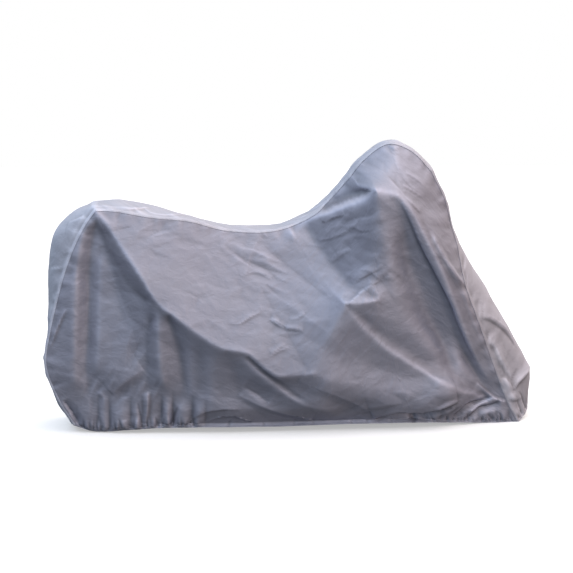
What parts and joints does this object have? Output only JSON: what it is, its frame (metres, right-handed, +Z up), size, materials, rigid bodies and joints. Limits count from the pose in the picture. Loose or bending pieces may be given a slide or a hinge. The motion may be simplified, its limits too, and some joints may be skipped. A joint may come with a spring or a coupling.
{
  "type": "motorcycle cover",
  "caption": "Fitted outdoor cover for a motorcycle: thin coated taffeta in tight folds over tail, seat and bars, hollow inside, with a gathered elastic hem.",
  "frame": {"origin": "centre of the bounding box, at the level of the lowest point of the hem", "axes": "+X to the front of the covered bike, +Z up, -Y to the side that the picture shows"},
  "size_m": [2.138, 0.7318, 1.2189],
  "materials": {
    "panel_cloth": "silver grey coated polyester taffeta, crisp, finely creased, semi-gloss",
    "strip_cloth": "the same silver grey coated taffeta, a little paler where it lies to the sky",
    "seam_thread": "pale grey polyester sewing thread, satin"
  },
  "bodies": {
    "root": {"side_panel_right": "panel_cloth", "side_panel_left": "panel_cloth", "spine_strip": "strip_cloth"}
  },
  "joints": []
}
